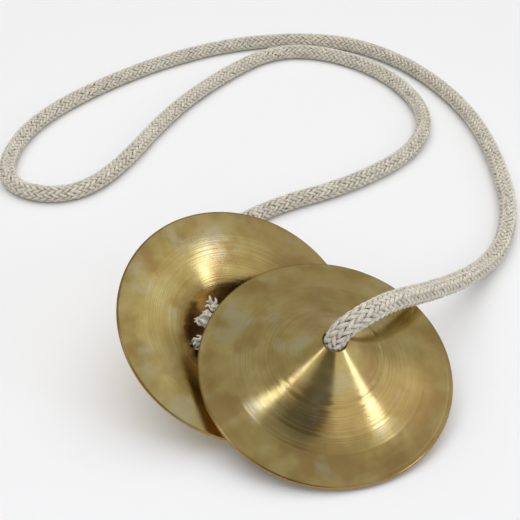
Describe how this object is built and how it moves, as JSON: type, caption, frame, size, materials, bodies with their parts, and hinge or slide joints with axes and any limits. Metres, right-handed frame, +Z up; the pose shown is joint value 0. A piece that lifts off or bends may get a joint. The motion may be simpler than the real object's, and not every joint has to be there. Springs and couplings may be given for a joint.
{
  "type": "finger cymbals",
  "caption": "Pair of turned brass finger cymbals with cone-shaped bells, joined through their apex holes by a long braided cotton cord.",
  "frame": {"origin": "On the table, under the middle of the two cymbals' bounding box.", "axes": "+Z is up, the shortest extent of the cymbals. +X runs from the rear cymbal to the front one, the longest extent of the two cymbals. +Y points away from the player's side, towards the cord's loops."},
  "size_m": [0.1732, 0.25, 0.0344],
  "materials": {
    "brass": "satin, fine turned rings, light tarnish",
    "cotton_cord": "undyed braided cotton",
    "cotton_tuft": "undyed frayed cotton yarn"
  },
  "bodies": {
    "cord": {"cord": "cotton_cord", "front_knot": "cotton_cord", "rear_knot": "cotton_cord", "front_tuft": "cotton_tuft", "rear_tuft": "cotton_tuft"},
    "front_cymbal": {"front_cymbal": "brass"},
    "rear_cymbal": {"rear_cymbal": "brass"}
  },
  "joints": [
    {"name": "front_spin", "type": "hinge", "parent": "cord", "child": "front_cymbal", "pos_m": [0.01164, -0.00987, 0.025], "axis": [0.1098, -0.3117, 0.9438], "continuous": true},
    {"name": "rear_spin", "type": "hinge", "parent": "cord", "child": "rear_cymbal", "pos_m": [-0.0161, 0.01237, 0.00525], "axis": [-0.3213, 0.4083, -0.8545], "continuous": true}
  ]
}
